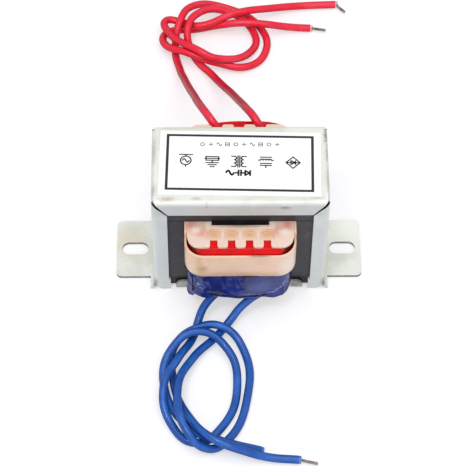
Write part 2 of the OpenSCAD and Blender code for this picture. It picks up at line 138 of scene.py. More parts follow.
def spotGroup():
    # round soft mark at one place, for scuffs and stains, and for painted shade and painted highlights
    group, start, end = newGroup(
        "spot",
        [("Vector", "NodeSocketVector", None), ("Centre", "NodeSocketVector", None),
         ("Squash", "NodeSocketVector", (1.0, 1.0, 1.0)), ("Radius", "NodeSocketFloat", 0.002),
         ("Ragged", "NodeSocketFloat", 0.5)],
        [("Mask", "NodeSocketFloat")])
    away = addNode(group, "ShaderNodeVectorMath", operation="SUBTRACT")
    squash = addNode(group, "ShaderNodeVectorMath", operation="MULTIPLY")
    size = addNode(group, "ShaderNodeVectorMath", operation="LENGTH")
    share = addNode(group, "ShaderNodeMath", operation="DIVIDE")
    rag = addNode(group, "ShaderNodeTexNoise", {"Scale": 1500.0, "Detail": 4.0})
    push = addNode(group, "ShaderNodeMath", {1: 0.5}, operation="SUBTRACT")
    swing = addNode(group, "ShaderNodeMath", operation="MULTIPLY_ADD")
    fade = addNode(group, "ShaderNodeMapRange", {"From Min": 1.0, "From Max": 0.0},
                   interpolation_type="SMOOTHSTEP")
    link = group.links.new
    link(start.outputs["Vector"], away.inputs[0])
    link(start.outputs["Centre"], away.inputs[1])
    link(away.outputs["Vector"], squash.inputs[0])
    link(start.outputs["Squash"], squash.inputs[1])
    link(squash.outputs["Vector"], size.inputs[0])
    link(size.outputs["Value"], share.inputs[0])
    link(start.outputs["Radius"], share.inputs[1])
    link(start.outputs["Vector"], rag.inputs["Vector"])
    link(rag.outputs["Fac"], push.inputs[0])
    link(push.outputs["Value"], swing.inputs[0])
    link(start.outputs["Ragged"], swing.inputs[1])
    link(share.outputs["Value"], swing.inputs[2])
    link(swing.outputs["Value"], fade.inputs["Value"])
    link(fade.outputs["Result"], end.inputs["Mask"])
    return group


groups = {"mottle": mottleGroup(), "grain": grainGroup(), "spot": spotGroup()}
print("node groups built")


def srgb(r, g, b):
    # screen colour, 0 to 255, as linear colour with alpha
    return tuple(((c / 255 + 0.055) / 1.055) ** 2.4 if c > 10 else c / 3294 for c in (r, g, b)) + (1.0,)


class Maker:  # one material under construction
    def __init__(self, name, metallic=0.0):
        self.material = bpy.data.materials.new(name)
        self.material.use_nodes = True
        self.tree = self.material.node_tree
        self.shader = self.tree.nodes["Principled BSDF"]
        self.shader.inputs["Metallic"].default_value = metallic
        self.where = addNode(self.tree, "ShaderNodeTexCoord").outputs["Object"]

    def link(self, a, b):
        self.tree.links.new(a, b)

    def feed(self, socket, value):
        # a link from another node, or a plain value
        if isinstance(value, bpy.types.NodeSocket):
            self.link(value, socket)
        else:
            socket.default_value = value

    def group(self, name, **values):
        node = addNode(self.tree, "ShaderNodeGroup", node_tree=groups[name])
        self.link(self.where, node.inputs["Vector"])
        for key, value in values.items():
            self.feed(node.inputs[key], value)
        return node

    def mix(self, factor, a, b):
        node = addNode(self.tree, "ShaderNodeMix", data_type="RGBA")
        for socket, value in ((0, factor), (6, a), (7, b)):
            self.feed(node.inputs[socket], value)
        return node.outputs[2]

    def clouds(self, span, base, spot):
        scale, low, high = span
        return self.group("mottle", Scale=scale, Low=low, High=high, Base=base, Spot=spot).outputs["Color"]

    def marks(self, colour, marks):
        # each mark: centre, radius, squash, shade, ragged
        for centre, radius, squash, shade, ragged in marks:
            spot = self.group("spot", Centre=[c * mm for c in centre], Radius=radius * mm,
                              Squash=squash, Ragged=ragged)
            colour = self.mix(spot.outputs["Mask"], colour, shade)
        return colour

    def rim(self, colour, s):
        # painted shade: deeper colour where the surface turns away from the view
        facing = addNode(self.tree, "ShaderNodeLayerWeight", {"Blend": 0.5}).outputs["Facing"]
        span = addNode(self.tree, "ShaderNodeMapRange", {"From Min": s["rimFrom"], "To Max": s["rimShadeShare"]})
        self.link(facing, span.inputs["Value"])
        return self.mix(span.outputs["Result"], colour, s["rim"])

    def gloss(self, s, full=0.2, gone=0.75):
        # clear skin that fades where the surface turns away
        self.shader.inputs["Coat Roughness"].default_value = s["coatRoughness"]
        facing = addNode(self.tree, "ShaderNodeLayerWeight", {"Blend": 0.5}).outputs["Facing"]
        span = addNode(self.tree, "ShaderNodeMapRange", {
            "From Min": full, "From Max": gone, "To Min": s["coat"], "To Max": 0.0})
        self.link(facing, span.inputs["Value"])
        self.link(span.outputs["Result"], self.shader.inputs["Coat Weight"])

    def finish(self, colour, s):
        # the colour, with fine grain in the gloss and in the surface
        self.link(colour, self.shader.inputs["Base Color"])
        scale, strength, depth = s["grain"]
        fine = self.group("grain", Scale=scale, Low=s["roughness"][0], High=s["roughness"][1])
        self.link(fine.outputs["Value"], self.shader.inputs["Roughness"])
        bump = addNode(self.tree, "ShaderNodeBump", {"Strength": strength, "Distance": depth * mm})
        self.link(fine.outputs["Height"], bump.inputs["Height"])
        self.link(bump.outputs["Normal"], self.shader.inputs["Normal"])
        return self.material


def newObject(name, data, material, stands=()):
    obj = bpy.data.objects.new(name, data)
    bpy.context.scene.collection.objects.link(obj)
    data.materials.append(material)
    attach(obj, "root")
    for node in stands:
        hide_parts(node)
    return obj


def meshObject(name, bm, material, stands=(), sharp=40):
    mesh = bpy.data.meshes.new(name)
    bm.to_mesh(mesh)
    bm.free()
    mesh.shade_smooth()
    mesh.set_sharp_from_angle(angle=math.radians(sharp))
    return newObject(name, mesh, material, stands)


def nodeCopy(node, flat=1.0):
    # merged copy of a CAD node, with its flat faces whole again
    bm = bmesh.new()
    bm.from_mesh(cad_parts[node].data)
    bmesh.ops.remove_doubles(bm, verts=bm.verts, dist=0.001 * mm)
    bmesh.ops.dissolve_limit(bm, angle_limit=math.radians(flat), verts=bm.verts, edges=bm.edges)
    return bm


def softenEdges(bm, width, angle, segments=2):
    turn = math.radians(angle)
    edges = [e for e in bm.edges if len(e.link_faces) == 2 and e.calc_face_angle(0) > turn]
    bmesh.ops.bevel(bm, geom=edges, offset=width * mm, offset_type="OFFSET", affect="EDGES",
                    segments=segments, profile=0.5, material=-1, clamp_overlap=True)


def slicePlanes(bm, axis, low, high, step):
    count = max(1, round((high - low) / (step * mm)))
    normal = [0, 0, 0]
    normal[axis] = 1
    for k in range(1, count):
        place = [0, 0, 0]
        place[axis] = low + (high - low) * k / count
        bmesh.ops.bisect_plane(bm, geom=bm.verts[:] + bm.edges[:] + bm.faces[:], dist=1e-7,
                               plane_co=place, plane_no=normal)


def nearSegment(x, z, start, end):
    # distance to a line, and on which side of it the point lies
    dx, dz = end[0] - start[0], end[1] - start[1]
    share = min(max(((x - start[0]) * dx + (z - start[1]) * dz) / (dx * dx + dz * dz), 0), 1)
    side = dx * (z - start[1]) - dz * (x - start[0])
    return math.hypot(x - start[0] - share * dx, z - start[1] - share * dz), 1 if side > 0 else -1


def smooth(low, high, value):
    share = min(max((value - low) / (high - low), 0), 1)
    return share * share * (3 - 2 * share)


def weighNormals(obj):
    step = obj.modifiers.new("flat faces", "WEIGHTED_NORMAL")
    step.keep_sharp = True


# zinc-plated sheet of the frame
zincValues = {
    "clean": srgb(226, 228, 221),
    "dull": srgb(213, 215, 206),
    # painted shade: the flanges darker and bluer than the top, the one under the top darker still
    "flange": srgb(207, 213, 218),
    "hangingShade": srgb(193, 198, 202),
    "flangeFrom": 13.25,   # the flanges lie further out in Y than this
    "hangingFrom": 36.8,   # and the one under the top lies above this
    "fades": (0.8, 1.0),   # over these distances
    "flangeShadeShare": 0.8,
    "clouds": (110.0, 0.42, 0.62),   # scale, and where the noise begins and is full
    "specks": (900.0, 0.55, 0.75),
    "metallic": 0.25, "roughness": (0.4, 0.58),
    "grain": (1400.0, 0.12, 0.05),   # scale, strength and depth of the bump
    "marks": (
        # centre, radius, squash, shade, ragged
        # painted shade of small dents at the front bend
        ((-9.55, -13.1, 42.5), 0.7, (1.0, 1.0, 0.8), srgb(84, 82, 68), 0.5),
        ((-9.5, -13.5, 41.9), 1.1, (1.2, 1.0, 0.9), srgb(188, 184, 150), 0.6),
        ((12.5, -13.6, 41.3), 2.4, (1.0, 1.0, 2.8), srgb(136, 140, 122), 0.3),
        ((-20.6, -12.2, 43.3), 3.6, (1.0, 2.6, 1.0), srgb(198, 184, 174), 1.1),
        ((-12.5, -12.0, 43.3), 2.2, (1.0, 2.4, 1.0), srgb(192, 192, 180), 1.2),
        ((7.0, -11.4, 43.3), 6.5, (1.0, 9.0, 1.0), srgb(212, 214, 194), 0.8),
        ((21.5, -11.9, 43.3), 3.0, (1.0, 4.0, 1.0), srgb(198, 200, 190), 0.9),
        # painted shade along the right bend, where the top turns down
        ((24.6, 10.2, 42.8), 4.4, (5.0, 1.0, 1.0), srgb(152, 154, 140), 1.4),
        ((24.8, 4.0, 42.6), 4.0, (5.0, 0.8, 1.0), srgb(184, 186, 174), 1.3),
        ((24.7, -6.0, 42.7), 5.0, (5.0, 0.7, 1.0), srgb(192, 194, 184), 1.3),
        ((-24.5, -9.0, 43.0), 3.2, (3.0, 1.0, 1.0), srgb(190, 192, 180), 1.1),
        ((-24.6, 4.0, 42.8), 5.0, (4.0, 0.8, 1.0), srgb(194, 196, 186), 1.2),
        ((4.0, 12.6, 43.3), 7.0, (0.6, 3.4, 1.0), srgb(214, 210, 192), 1.2),
        ((-14.0, 12.7, 43.3), 6.0, (0.7, 3.6, 1.0), srgb(214, 212, 196), 1.2),
        ((-24.9, -13.4, 3.2), 2.4, (1.6, 1.0, 0.8), srgb(158, 158, 148), 1.0),
        ((24.9, -13.4, 3.2), 2.4, (1.6, 1.0, 0.8), srgb(158, 158, 148), 1.0),
        # painted light over the right ear; a darker, warmer patch over the left ear
        ((33.0, 8.0, 1.2), 12.0, (1.0, 1.0, 1.0), srgb(243, 245, 237), 0.3),
        ((-33.0, 2.0, 1.2), 9.0, (1.0, 1.0, 1.0), srgb(216, 208, 190), 0.8),
    ),
}


def zincMaterial(s):
    m = Maker("zinc sheet", s["metallic"])
    colour = m.clouds(s["clouds"], s["clean"], s["dull"])
    colour = m.clouds(s["specks"], colour, s["dull"])
    # painted shade: the flanges, facing forward and sideways, are painted darker and bluer than the top,
    # and the flange under the top darker still
    split = addNode(m.tree, "ShaderNodeSeparateXYZ")
    m.link(m.where, split.inputs[0])
    depth = addNode(m.tree, "ShaderNodeMath", operation="ABSOLUTE")
    m.link(split.outputs["Y"], depth.inputs[0])
    side = addNode(m.tree, "ShaderNodeMapRange", {
        "From Min": s["flangeFrom"] * mm, "From Max": (s["flangeFrom"] + s["fades"][0]) * mm,
        "To Max": s["flangeShadeShare"]})
    m.link(depth.outputs[0], side.inputs["Value"])
    high = addNode(m.tree, "ShaderNodeMapRange", {
        "From Min": s["hangingFrom"] * mm, "From Max": (s["hangingFrom"] + s["fades"][1]) * mm})
    m.link(split.outputs["Z"], high.inputs["Value"])
    tone = m.mix(high.outputs["Result"], s["flange"], s["hangingShade"])
    colour = m.mix(side.outputs["Result"], colour, tone)
    return m.finish(m.marks(colour, s["marks"]), s)


# black oxide and varnish on the punched sheets
laminationValues = {
    "face": srgb(56, 53, 58), "worn": srgb(80, 76, 78), "shadeAndJointBlack": srgb(17, 15, 16), "metallic": 0.3,
    "clouds": (260.0, 0.5, 0.8), "roughness": (0.38, 0.55), "grain": (1500.0, 0.15, 0.05),
    "shadeTop": 5.0, "shadeFade": 0.3,   # painted shade along the lower edge, under the coil and behind the clip
    "joint": 33.3, "jointHalf": 0.26,      # dark joint where the E sheets meet the I sheets
}


def laminationMaterial(s):
    m = Maker("varnished lamination", s["metallic"])
    colour = m.clouds(s["clouds"], s["face"], s["worn"])
    split = addNode(m.tree, "ShaderNodeSeparateXYZ")
    m.link(m.where, split.inputs[0])
    # painted shade: black along the lower edge of the sheets
    shadeAndJointBlack = addNode(m.tree, "ShaderNodeMapRange", {
        "From Min": s["shadeTop"] * mm, "From Max": (s["shadeTop"] - s["shadeFade"]) * mm})
    m.link(split.outputs["Z"], shadeAndJointBlack.inputs["Value"])
    colour = m.mix(shadeAndJointBlack.outputs["Result"], colour, s["shadeAndJointBlack"])
    joint = addNode(m.tree, "ShaderNodeMath", {1: s["joint"] * mm, 2: s["jointHalf"] * mm},
                    operation="COMPARE")
    m.link(split.outputs["Z"], joint.inputs[0])
    return m.finish(m.mix(joint.outputs[0], colour, s["shadeAndJointBlack"]), s)


# milky moulded nylon of the bobbin and its shroud
# pink is painted light through the nylon, milk a painted glare, amber a painted shade
pinkLightThrough, milkyGlare, amber = srgb(232, 156, 142), srgb(244, 230, 214), srgb(218, 168, 120)
nylonFinish = {"coat": 0.15, "coatRoughness": 0.3, "clouds": (160.0, 0.4, 0.75),
               "roughness": (0.26, 0.4), "grain": (900.0, 0.1, 0.05)}
nylonValues = {
    "bobbin": {
        **nylonFinish, "body": srgb(238, 212, 196), "warm": srgb(230, 196, 176),
        "marks": (
            # painted light: pink where the red coil shows through the nylon at the flange corners
            ((-11.2, -16.6, 33.0), 3.2, (1.0, 0.9, 1.0), pinkLightThrough, 0.5),
            ((-13.9, -14.2, 33.0), 2.8, (1.0, 0.8, 1.0), pinkLightThrough, 0.6),
            ((10.8, -16.0, 33.0), 3.2, (0.9, 1.0, 1.0), pinkLightThrough, 0.5),
            ((13.4, -14.2, 33.0), 2.6, (1.0, 0.8, 1.0), pinkLightThrough, 0.6),
            # painted glare: milky white on the flange lobes and teeth
            ((-12.7, -15.5, 33.0), 2.5, (1.0, 1.2, 1.0), milkyGlare, 0.6),
            ((12.5, -16.4, 33.0), 2.8, (0.9, 1.3, 1.0), milkyGlare, 0.6),
            ((-12.4, -19.0, 33.0), 3.4, (0.8, 1.4, 1.0), srgb(232, 206, 194), 0.6),
            ((-9.2, -14.0, 33.0), 2.0, (1.6, 0.9, 1.0), milkyGlare, 0.5),
            ((9.2, -14.0, 33.0), 2.0, (1.6, 0.9, 1.0), milkyGlare, 0.5),
            # painted shadow under the frame's top flange
            ((0.0, -14.1, 33.0), 10.5, (1.0, 8.0, 1.0), srgb(172, 146, 124), 0.4),
        # painted shade: darker amber in the four pockets behind the notches
        ) + tuple(((x, -16.6, 32.6), 3.4, (1.0, 1.15, 8.0), amber, 0.2)
                  for x in (-7.575, -2.525, 2.525, 7.575)),
    },
    "shroud": {
        **nylonFinish, "body": srgb(246, 209, 182), "warm": srgb(238, 194, 160),
        "marks": (
            # painted shade: the lower skirt darker
            ((0.0, -23.3, 20.2), 26.0, (0.6, 1.0, 6.0), srgb(206, 166, 128), 0.2),
            ((-10.9, -23.3, 24.6), 3.0, (1.0, 1.0, 1.1), srgb(214, 168, 120), 0.8),
            ((-12.1, -23.2, 27.6), 2.6, (1.3, 1.0, 0.7), srgb(232, 192, 150), 0.8),
            ((-6.0, -23.3, 26.4), 4.0, (1.0, 1.0, 1.2), srgb(244, 212, 174), 0.8),
            ((5.4, -23.1, 30.6), 5.2, (1.0, 6.0, 30.0), srgb(160, 134, 114), 0.6),
            # painted highlight on the right of the skirt
            ((13.6, -22.6, 25.0), 6.0, (1.3, 1.0, 0.7), srgb(248, 228, 212), 0.3),
            # painted glare at the lower left corner of the skirt
            ((-14.2, -22.0, 21.6), 2.0, (1.0, 1.0, 1.4), milkyGlare, 0.8),
        ),
    },
}


def nylonMaterial(name, s):
    m = Maker(name)
    m.shader.inputs["Coat Weight"].default_value = s["coat"]
    m.shader.inputs["Coat Roughness"].default_value = s["coatRoughness"]
    return m.finish(m.marks(m.clouds(s["clouds"], s["body"], s["warm"]), s["marks"]), s)


# polyester tape round the coils
# painted shade for the corner gaps of the red tape, and painted sheen for the blue tape
cornerShadeBrown, cornerShadeDark, sheen = srgb(110, 84, 52), srgb(46, 34, 24), srgb(138, 156, 210)
# rim: painted shade at the edges that turn away
tapeFinish = {"clouds": (210.0, 0.35, 0.7), "rimFrom": 0.35, "rimShadeShare": 0.5, "coatRoughness": 0.08,
              "grain": (700.0, 0.25, 0.1)}
tapeValues = {
    "red": {
        **tapeFinish, "film": srgb(226, 10, 12), "deep": srgb(200, 8, 12), "rim": srgb(160, 4, 10),
        "roughness": (0.25, 0.4), "specular": 0.15, "coat": 0.0,
        "marks": (
            # painted shade: brown and near black in the corner gaps between the red tape and the shroud
            ((-13.5, -20.9, 31.4), 2.6, (1.0, 1.0, 0.8), cornerShadeBrown, 0.9),
            ((-14.6, -19.2, 31.4), 2.1, (1.0, 1.0, 0.8), cornerShadeDark, 0.9),
            ((13.4, -21.2, 31.4), 2.4, (1.0, 1.0, 0.8), cornerShadeBrown, 0.9),
            ((14.4, -19.9, 31.4), 2.6, (1.0, 1.0, 0.8), cornerShadeDark, 0.7),
            ((14.9, -18.0, 31.4), 2.6, (1.0, 0.8, 0.8), cornerShadeDark, 0.6),
        ),
    },
    "blue": {
        **tapeFinish, "film": srgb(40, 54, 142), "deep": srgb(20, 30, 94), "rim": srgb(12, 18, 66),
        "roughness": (0.1, 0.22), "specular": 0.16, "coat": 0.5, "marks": (
            # painted highlights: lighter streaks at the folds, the corners and the lap edge
            ((-12.2, -22.4, 14.8), 1.1, (1.0, 0.6, 1.5), sheen, 1.3),
            ((-11.3, -22.8, 13.4), 0.95, (0.8, 0.6, 1.6), sheen, 1.4),
            ((-13.6, -21.2, 15.6), 0.9, (1.4, 0.6, 0.7), sheen, 1.2),
            ((11.5, -22.6, 12.7), 1.7, (0.8, 0.6, 1.6), sheen, 1.4),
            ((12.8, -21.8, 14.4), 1.5, (1.3, 0.6, 0.7), sheen, 1.4),
            ((9.4, -23.2, 11.6), 1.4, (0.6, 0.6, 2.4), sheen, 1.2),
            ((2.6, -23.4, 11.6), 1.8, (0.5, 0.6, 3.4), srgb(104, 116, 176), 0.8),
            ((-9.3, -23.4, 16.2), 1.4, (1.8, 0.6, 0.8), srgb(76, 90, 158), 1.4),
            ((6.0, -23.6, 15.5), 6.0, (0.8, 0.3, 1.3), srgb(74, 84, 148), 0.7),
        ),
    },
}


def tapeMaterial(name, s):
    m = Maker(name)
    m.shader.inputs["Specular IOR Level"].default_value = s["specular"]
    m.gloss(s)
    colour = m.rim(m.clouds(s["clouds"], s["film"], s["deep"]), s)
    return m.finish(m.marks(colour, s["marks"]), s)


# soft insulation of the leads
# rim: painted shade at the edges that turn away
insulationFinish = {"clouds": (140.0, 0.4, 0.75), "rimFrom": 0.3, "rimShadeShare": 0.95, "specular": 0.1,
                    "coatRoughness": 0.14, "roughness": (0.3, 0.4), "grain": (1100.0, 0.05, 0.05)}
insulationValues = {
    "red": {**insulationFinish, "body": srgb(240, 30, 58), "pale": srgb(244, 58, 84),
            "rim": srgb(128, 0, 26), "cut": srgb(252, 224, 224), "coat": 0.4},
    "blue": {**insulationFinish, "body": srgb(18, 80, 166), "pale": srgb(42, 104, 194),
             "rim": srgb(2, 12, 56), "cut": srgb(86, 124, 196), "coat": 0.5},
}


def insulationMaterial(name, s):
    m = Maker(name)
    m.shader.inputs["Specular IOR Level"].default_value = s["specular"]
    m.gloss(s)
    return m.finish(m.rim(m.clouds(s["clouds"], s["body"], s["pale"]), s), s)


# bare metals and the paper label
plainFinish = {"metallic": 0.0, "spread": (0.4, 0.7), "grain": (1300.0, 0.08, 0.05)}
plainValues = {
    "copper wire": {"a": srgb(176, 96, 52), "b": srgb(140, 66, 34), "scale": 500.0, "metallic": 0.9,
                    "roughness": (0.25, 0.4)},
    "tinned wire": {"a": srgb(150, 142, 136), "b": srgb(96, 80, 72), "scale": 700.0, "metallic": 0.7,
                    "roughness": (0.3, 0.45)},
    "label paper": {"a": srgb(255, 255, 255), "b": srgb(250, 250, 251), "scale": 90.0,
                    "roughness": (0.4, 0.5)},
    "label ink": {"a": srgb(16, 14, 18), "b": srgb(30, 28, 32), "scale": 1200.0, "roughness": (0.6, 0.7)},
    "label grey": {"a": srgb(78, 75, 75), "b": srgb(112, 108, 107), "scale": 1500.0,
                   "roughness": (0.6, 0.7)},
    "clip sheet": {"a": srgb(176, 178, 174), "b": srgb(134, 132, 124), "scale": 200.0, "metallic": 0.25,
                   "roughness": (0.4, 0.55)},
    # the bare sheared edge of the ears, darkened as painted shade in the slots and under the edges
    "sheared edge and shade": {"a": srgb(126, 128, 126), "b": srgb(162, 162, 156), "scale": 700.0, "metallic": 0.25,
                     "roughness": (0.5, 0.65)},
    # painted shade: black on the cut faces of the open mitres, for the dark gap behind them
    "mitre shade": {"a": srgb(22, 21, 22), "b": srgb(40, 38, 38), "scale": 800.0, "roughness": (0.6, 0.75)},
}


def plainMaterial(name, values):
    s = {**plainFinish, **values}
    m = Maker(name, s["metallic"])
    return m.finish(m.clouds((s["scale"], *s["spread"]), s["a"], s["b"]), s)


zinc = zincMaterial(zincValues)
lamination = laminationMaterial(laminationValues)
bobbinNylon = nylonMaterial("bobbin nylon", nylonValues["bobbin"])
shroudNylon = nylonMaterial("shroud nylon", nylonValues["shroud"])
redTape = tapeMaterial("red tape", tapeValues["red"])
blueTape = tapeMaterial("blue tape", tapeValues["blue"])
redInsulation = insulationMaterial("red insulation", insulationValues["red"])
blueInsulation = insulationMaterial("blue insulation", insulationValues["blue"])
plain = {name: plainMaterial(name, s) for name, s in plainValues.items()}
print("materials built")

# the four leads: routes in millimetres, from the soldered joint to the loose end
leadSettings = {
    "radius": 1.2,
    "sides": 6,       # bevel resolution of the round section
    "steps": 14,      # points along each stretch of the route
    "exitPoint": 1,   # the route leaves the end flange here
}
leadRoutes = {
    "primary_lead_left": {
        "material": redInsulation, "slot": "red_insulation", "length": 219.9, "route": [
            (-6.4, 21.09, 25.7), (-6.4, 21.09, 32.6), (-7.7, 22.1, 34.2), (-9.2, 24.4, 34.6),
            (-10.6, 28, 33), (-12, 34, 28.4), (-13.3, 42, 21.6), (-14.9, 51, 14.1), (-16.5, 60, 7.4),
            (-17.9, 67, 3.3), (-19.5, 77.5, 1.5), (-18, 85, 5.9),
            (-14, 92, 5.2), (-4, 94, 2.4), (8, 86, 1.35), (9.5, 76, 1.32), (4, 70, 1.38), (-6.5, 70, 3.3),
            (-15.5, 72.5, 5.2), (-23, 78, 3.2), (-22.5, 83, 2.1), (-12, 85.5, 1.6), (-4.5, 85.2, 3.9),
            (2.7, 84.8, 5.3), (10.1, 84.5, 4.9), (13.6, 84.9, 3.7), (17.2, 85.5, 2.4),
            (20.9, 85.9, 1.5), (24.1, 86, 1.2)]},
    "primary_lead_right": {
        "material": redInsulation, "slot": "red_insulation", "length": 218.2, "route": [
            (6.4, 21.09, 25.7), (6.4, 21.09, 32.6), (5.3, 22.1, 34.2), (4, 24.4, 34.5),
            (2.6, 28, 32.6), (1.2, 34, 27.6), (-0.1, 42, 19.8), (-2, 51, 11.8), (-4.3, 58, 6.4),
            (-7.4, 65, 2.7), (-14, 75, 2), (-15.5, 81.5, 5.8), (-12.5, 87.5, 6.6),
            (-3, 91, 3.8), (6, 83.5, 1.4), (5, 76, 1.8), (-6, 69.5, 5.9), (-12, 71.5, 7.5),
            (-22, 82, 4.7), (-22.5, 87, 3.9), (-16.5, 86.5, 3.3), (-12, 84.5, 4.2), (0.5, 88.5, 6),
            (12, 92.5, 3.6), (20.5, 95, 1.75), (32.6, 96.05, 1.25)]},
    "secondary_lead_left": {
        "material": blueInsulation, "slot": "blue_insulation", "length": 167.4, "route": [
            (-6.4, -21.09, 16.7), (-6.4, -21.09, 9.8), (-8.6, -22.1, 7.3), (-10.8, -24, 4.8),
            (-12.2, -27, 2.7), (-13.5, -31.5, 1.8),
            (-18, -41, 4.9), (-22, -50.5, 5.4), (-20, -60.5, 2.1), (-13, -66.5, 1.35),
            (-5.5, -61.5, 1.22), (-1, -48, 1.55), (-4, -36.5, 3.3), (-12, -32.5, 6), (-20, -38, 4.8),
            (-22, -48, 2.2), (-14.5, -62.5, 2.8), (-6, -67.5, 4.5), (5.5, -69, 1.2)]},
    "secondary_lead_right": {
        "material": blueInsulation, "slot": "blue_insulation", "length": 196.9, "route": [
            (6.4, -21.09, 16.7), (6.4, -21.09, 9.8), (3.2, -22.1, 7.3), (-0.1, -24, 4.9),
            (-3.0, -27, 2.7), (-6.7, -31.5, 1.9),
            (-13.5, -39.5, 3.1), (-18, -52.5, 6.8), (-15, -66, 6.3), (-9.5, -69, 2.5),
            (-4.5, -66.5, 1.6), (2, -51, 1.35), (1, -36.5, 2), (-5, -30, 4.4), (-12.5, -30.5, 4.7),
            (-19, -35.5, 2.7), (-19.5, -45, 1.35), (-14, -61.5, 5.2), (-7.5, -68.5, 6.8),
            (1, -71, 4.5), (8, -71.5, 1.75), (16, -72, 1.25)]},
}


def makeLead(node, s, common):
    curve = bpy.data.curves.new(node, "CURVE")
    curve.dimensions = "3D"
    curve.twist_mode = "MINIMUM"
    curve.resolution_u = common["steps"]
    curve.bevel_depth = common["radius"] * mm
    curve.bevel_resolution = common["sides"]
    curve.use_fill_caps = True
    spline = curve.splines.new("BEZIER")
    spline.bezier_points.add(len(s["route"]) - 1)
    for point, place in zip(spline.bezier_points, s["route"]):
        point.co = Vector(place) * mm
        point.handle_left_type = point.handle_right_type = "AUTO"
    return newObject(node + "_insulation", curve, s["material"], [node])


leads = {node: makeLead(node, s, leadSettings) for node, s in leadRoutes.items()}
print("leads laid")

# twisted tinned strands at three of the loose ends
strandSettings = {
    "wire": 0.16,   # radius of one strand
    "lay": 0.3,   # radius of the twist
    "around": 6,   # strands round the middle one
    "pitch": 5.5,   # length of one full turn
    "ringSides": 8,
    "steps": 20,
    "inside": 0.8,   # length hidden in the insulation
    "bend": 1.3,   # length over which the bundle turns to its tip
    "ends": {
        "primary_strands_left": ("primary_lead_left", (29.2, 85.2, 1.1)),
        "primary_strands_right": ("primary_lead_right", (35.7, 92.9, 1.1)),
        "secondary_strands_right": ("secondary_lead_right", (21.3, -73.2, 1.1)),
    },
}


def makeStrands(node, lead, tip, s):
    route = leadRoutes[lead]["route"]
    end, before = Vector(route[-1]) * mm, Vector(route[-2]) * mm
    out = (end - before).normalized()
    tip = Vector(tip) * mm
    reach = (tip - end).length + s["inside"] * mm
    bm = bmesh.new()
    offsets = [Vector((math.cos(turn), math.sin(turn), 0)) * s["lay"] * mm
               for turn in (k * math.tau / s["around"] for k in range(s["around"]))]
    for offset in offsets + [Vector((0, 0, 0))]:
        ring = bmesh.ops.create_circle(bm, segments=s["ringSides"], radius=s["wire"] * mm, cap_ends=True)
        bmesh.ops.translate(bm, verts=ring["verts"], vec=offset)
        faces = list({f for v in ring["verts"] for f in v.link_faces})
        turns = reach / (s["pitch"] * mm)
        bmesh.ops.spin(bm, geom=faces, cent=(0, 0, 0), axis=(0, 0, 1), dvec=(0, 0, reach / s["steps"]),
                       angle=math.tau * turns, steps=s["steps"], use_duplicate=False)
    # the bundle leaves the insulation straight and turns to its tip
    aim = (tip - end).normalized()
    for v in bm.verts:
        along = v.co.z - s["inside"] * mm
        share = min(max(along / (s["bend"] * mm), 0), 1)
        heading = out.lerp(aim, share).normalized() if along > 0 else out
        across = Vector((0, 0, 1)).cross(heading).normalized()
        lift = heading.cross(across)
        v.co = end + heading * along + across * v.co.x + lift * v.co.y
    bmesh.ops.recalc_face_normals(bm, faces=bm.faces)
    return meshObject(node + "_wires", bm, plain["tinned wire"], [node], sharp=60)


for node, (lead, tip) in strandSettings["ends"].items():
    makeStrands(node, lead, tip, strandSettings)
print("strands twisted")

# pale cut face at the end of each lead
cutSettings = {
    "sides": 32, "depth": 0.9, "outer": 1.12, "inner": 1.1,
    "forward": 0.2,   # how far the middle of the plug stands out
    "slant": {"red": (0, -0.3, 0.42), "blue": (0, 0, 0)},
}
cutPaint = {tone: plainMaterial(tone + " insulation cut", {
    "a": s["cut"], "b": s["body"], "scale": 900.0, "roughness": (0.4, 0.5)})
    for tone, s in insulationValues.items()}


def makeCut(node, s):
    route = leadRoutes[node]["route"]
    tone = "red" if node.startswith("primary") else "blue"
    end = Vector(route[-1]) * mm
    out = (end - Vector(route[-2]) * mm).normalized()
    end += out * s["forward"] * mm
    out = (out + Vector(s["slant"][tone])).normalized()
    place = Matrix.Translation(end) @ out.to_track_quat("Z", "Y").to_matrix().to_4x4()
    bm = bmesh.new()
    bmesh.ops.create_cone(bm, cap_ends=True, segments=s["sides"], radius1=s["outer"] * mm,
                          radius2=s["inner"] * mm, depth=s["depth"] * mm, matrix=place)
    return meshObject(node + "_cut", bm, cutPaint[tone])


cuts = {node: makeCut(node, cutSettings) for node in leadRoutes}
print("lead ends cut")

for node, obj in leads.items():
    s = leadRoutes[node]

# frame, clip, bobbin and shroud keep the CAD shape and get softened edges
edgeSettings = {
    "channel_frame": {"width": 0.12, "angle": 35, "material": zinc, "slot": "zinc_sheet"},
    "core_clip": {"width": 0.12, "angle": 35, "material": plain["clip sheet"], "slot": "clip_sheet"},
    "bobbin": {"width": 0.12, "angle": 35, "material": bobbinNylon, "slot": "bobbin_nylon"},
    "coil_shroud": {"width": 0.14, "angle": 35, "material": shroudNylon, "slot": "shroud_nylon"},
    "rating_label": {"width": 0.03, "angle": 35, "material": plain["label paper"], "slot": "label_paper"},
}

# small bends of the moulding, in millimetres
bendSettings = {
    "top": 31.9,    # the upper end flange lies above this, and its rear end bows up
    "rear": (14.0, 21.4), "rearRise": 0.9,
    "lobeX": 14.6, "lobeY": -13.0,    # its front lobes spread against the cheeks
    "lobe": (-18.6, -17.4), "lobeReach": 0.28,
    "low": 10.3,    # the lower end flange lies below this, and draws back at the front
    "lowPull": (-17.0, -20.5), "frontPull": 0.9, "frontRest": (9.0, 13.0),
    "slices": (1.5, 0.9, 0.8),    # across, at the front and at the rear
}
# faces painted as shade: the open mitres black, and the edges of the ears grey, partly the bare sheared
# edge
shadedFaceSettings = {
    "inner": (20.75, 37.7), "corner": (25.15, 43.3), "from": 12.6, "reach": 0.75,
    "square": 0.9, "overrun": (-0.6, 7.3),
    "earX": 25.9, "earZ": 1.3, "upright": 0.3,
}


